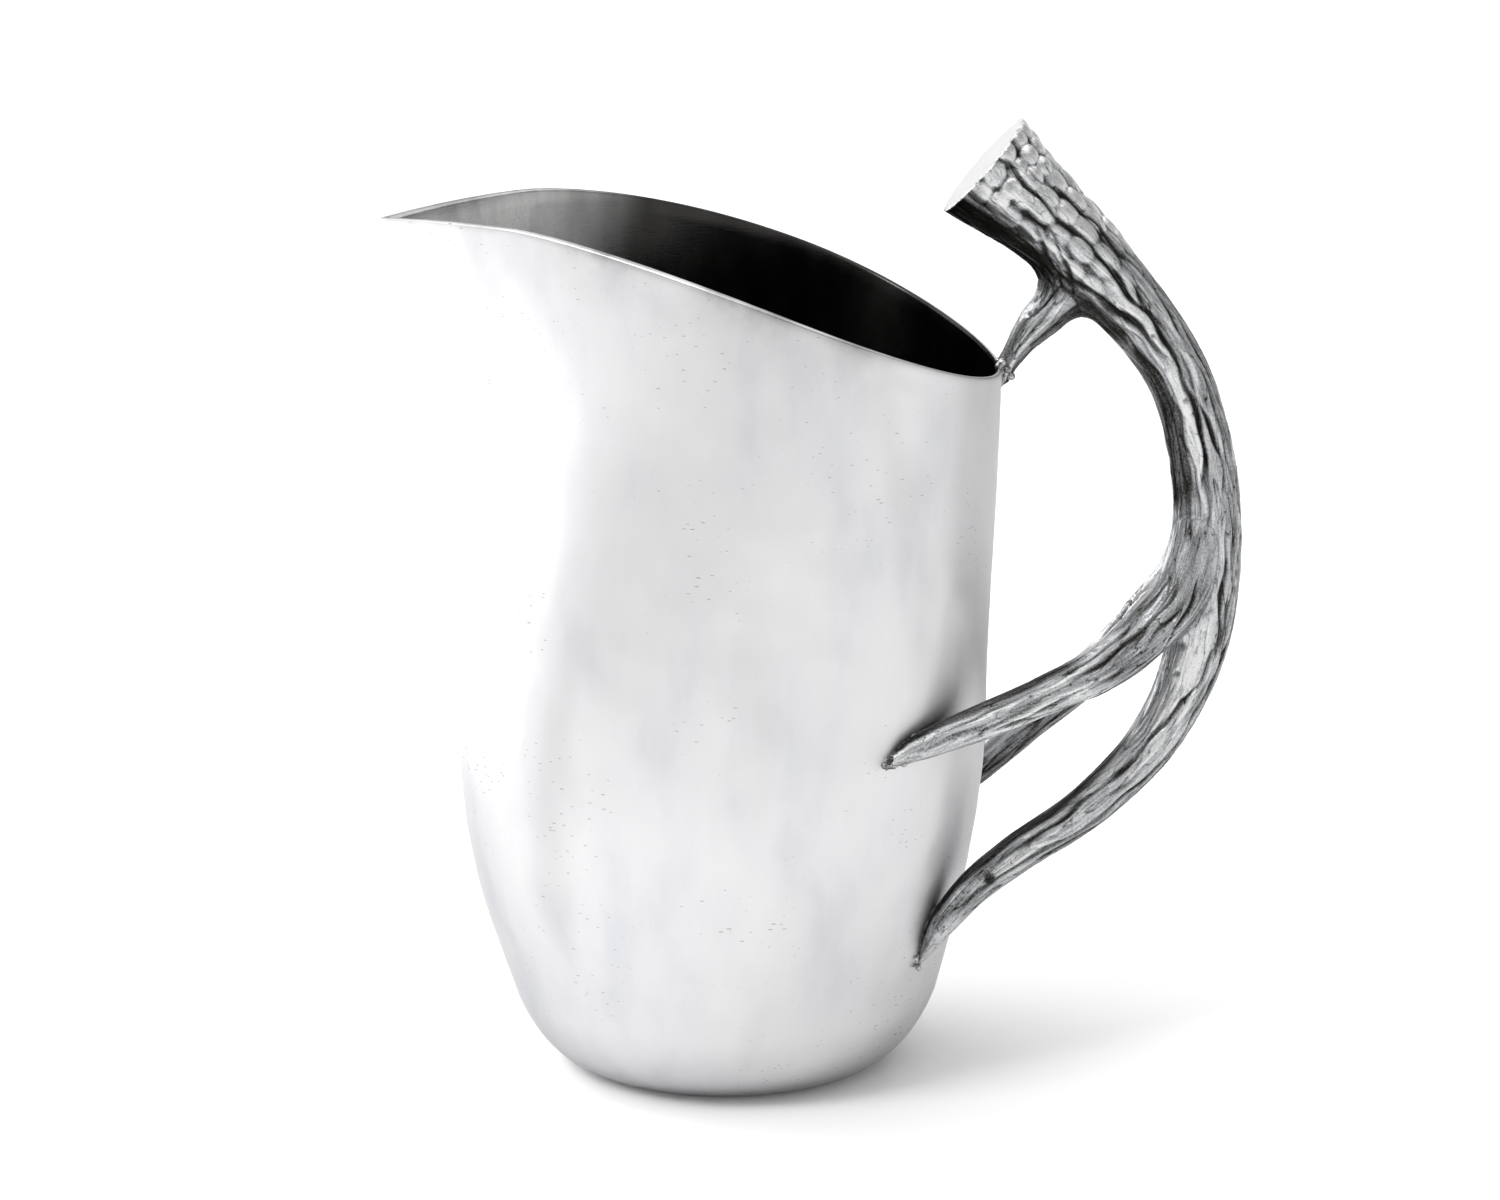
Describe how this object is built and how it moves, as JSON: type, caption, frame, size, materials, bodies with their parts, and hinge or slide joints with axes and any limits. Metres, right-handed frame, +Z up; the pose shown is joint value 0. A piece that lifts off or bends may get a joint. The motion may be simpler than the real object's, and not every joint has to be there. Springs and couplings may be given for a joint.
{
  "type": "water pitcher",
  "caption": "Hand-raised pewter water pitcher with a long pointed spout and a cast antler handle whose tines are soldered to the wall and rim.",
  "frame": {"origin": "centre of the flat foot, on the axis of the round base", "axes": "+Z up, -X towards the spout tip, +X towards the handle, +Y towards the far side when the spout is on the left"},
  "size_m": [0.2227, 0.1368, 0.2491],
  "materials": {
    "polished_pewter": "gloss",
    "darkened_pewter": "satin",
    "solder": "satin"
  },
  "bodies": {
    "root": {"body_shell": "polished_pewter", "base_disc": "polished_pewter", "base_solder_seam": "solder", "antler_stem": "darkened_pewter", "sawn_end_plate": "polished_pewter", "rim_tine": "darkened_pewter", "near_tine": "darkened_pewter", "far_tine": "darkened_pewter", "rim_solder": "solder", "near_solder": "solder", "far_solder": "solder", "lower_solder": "solder"}
  },
  "joints": []
}
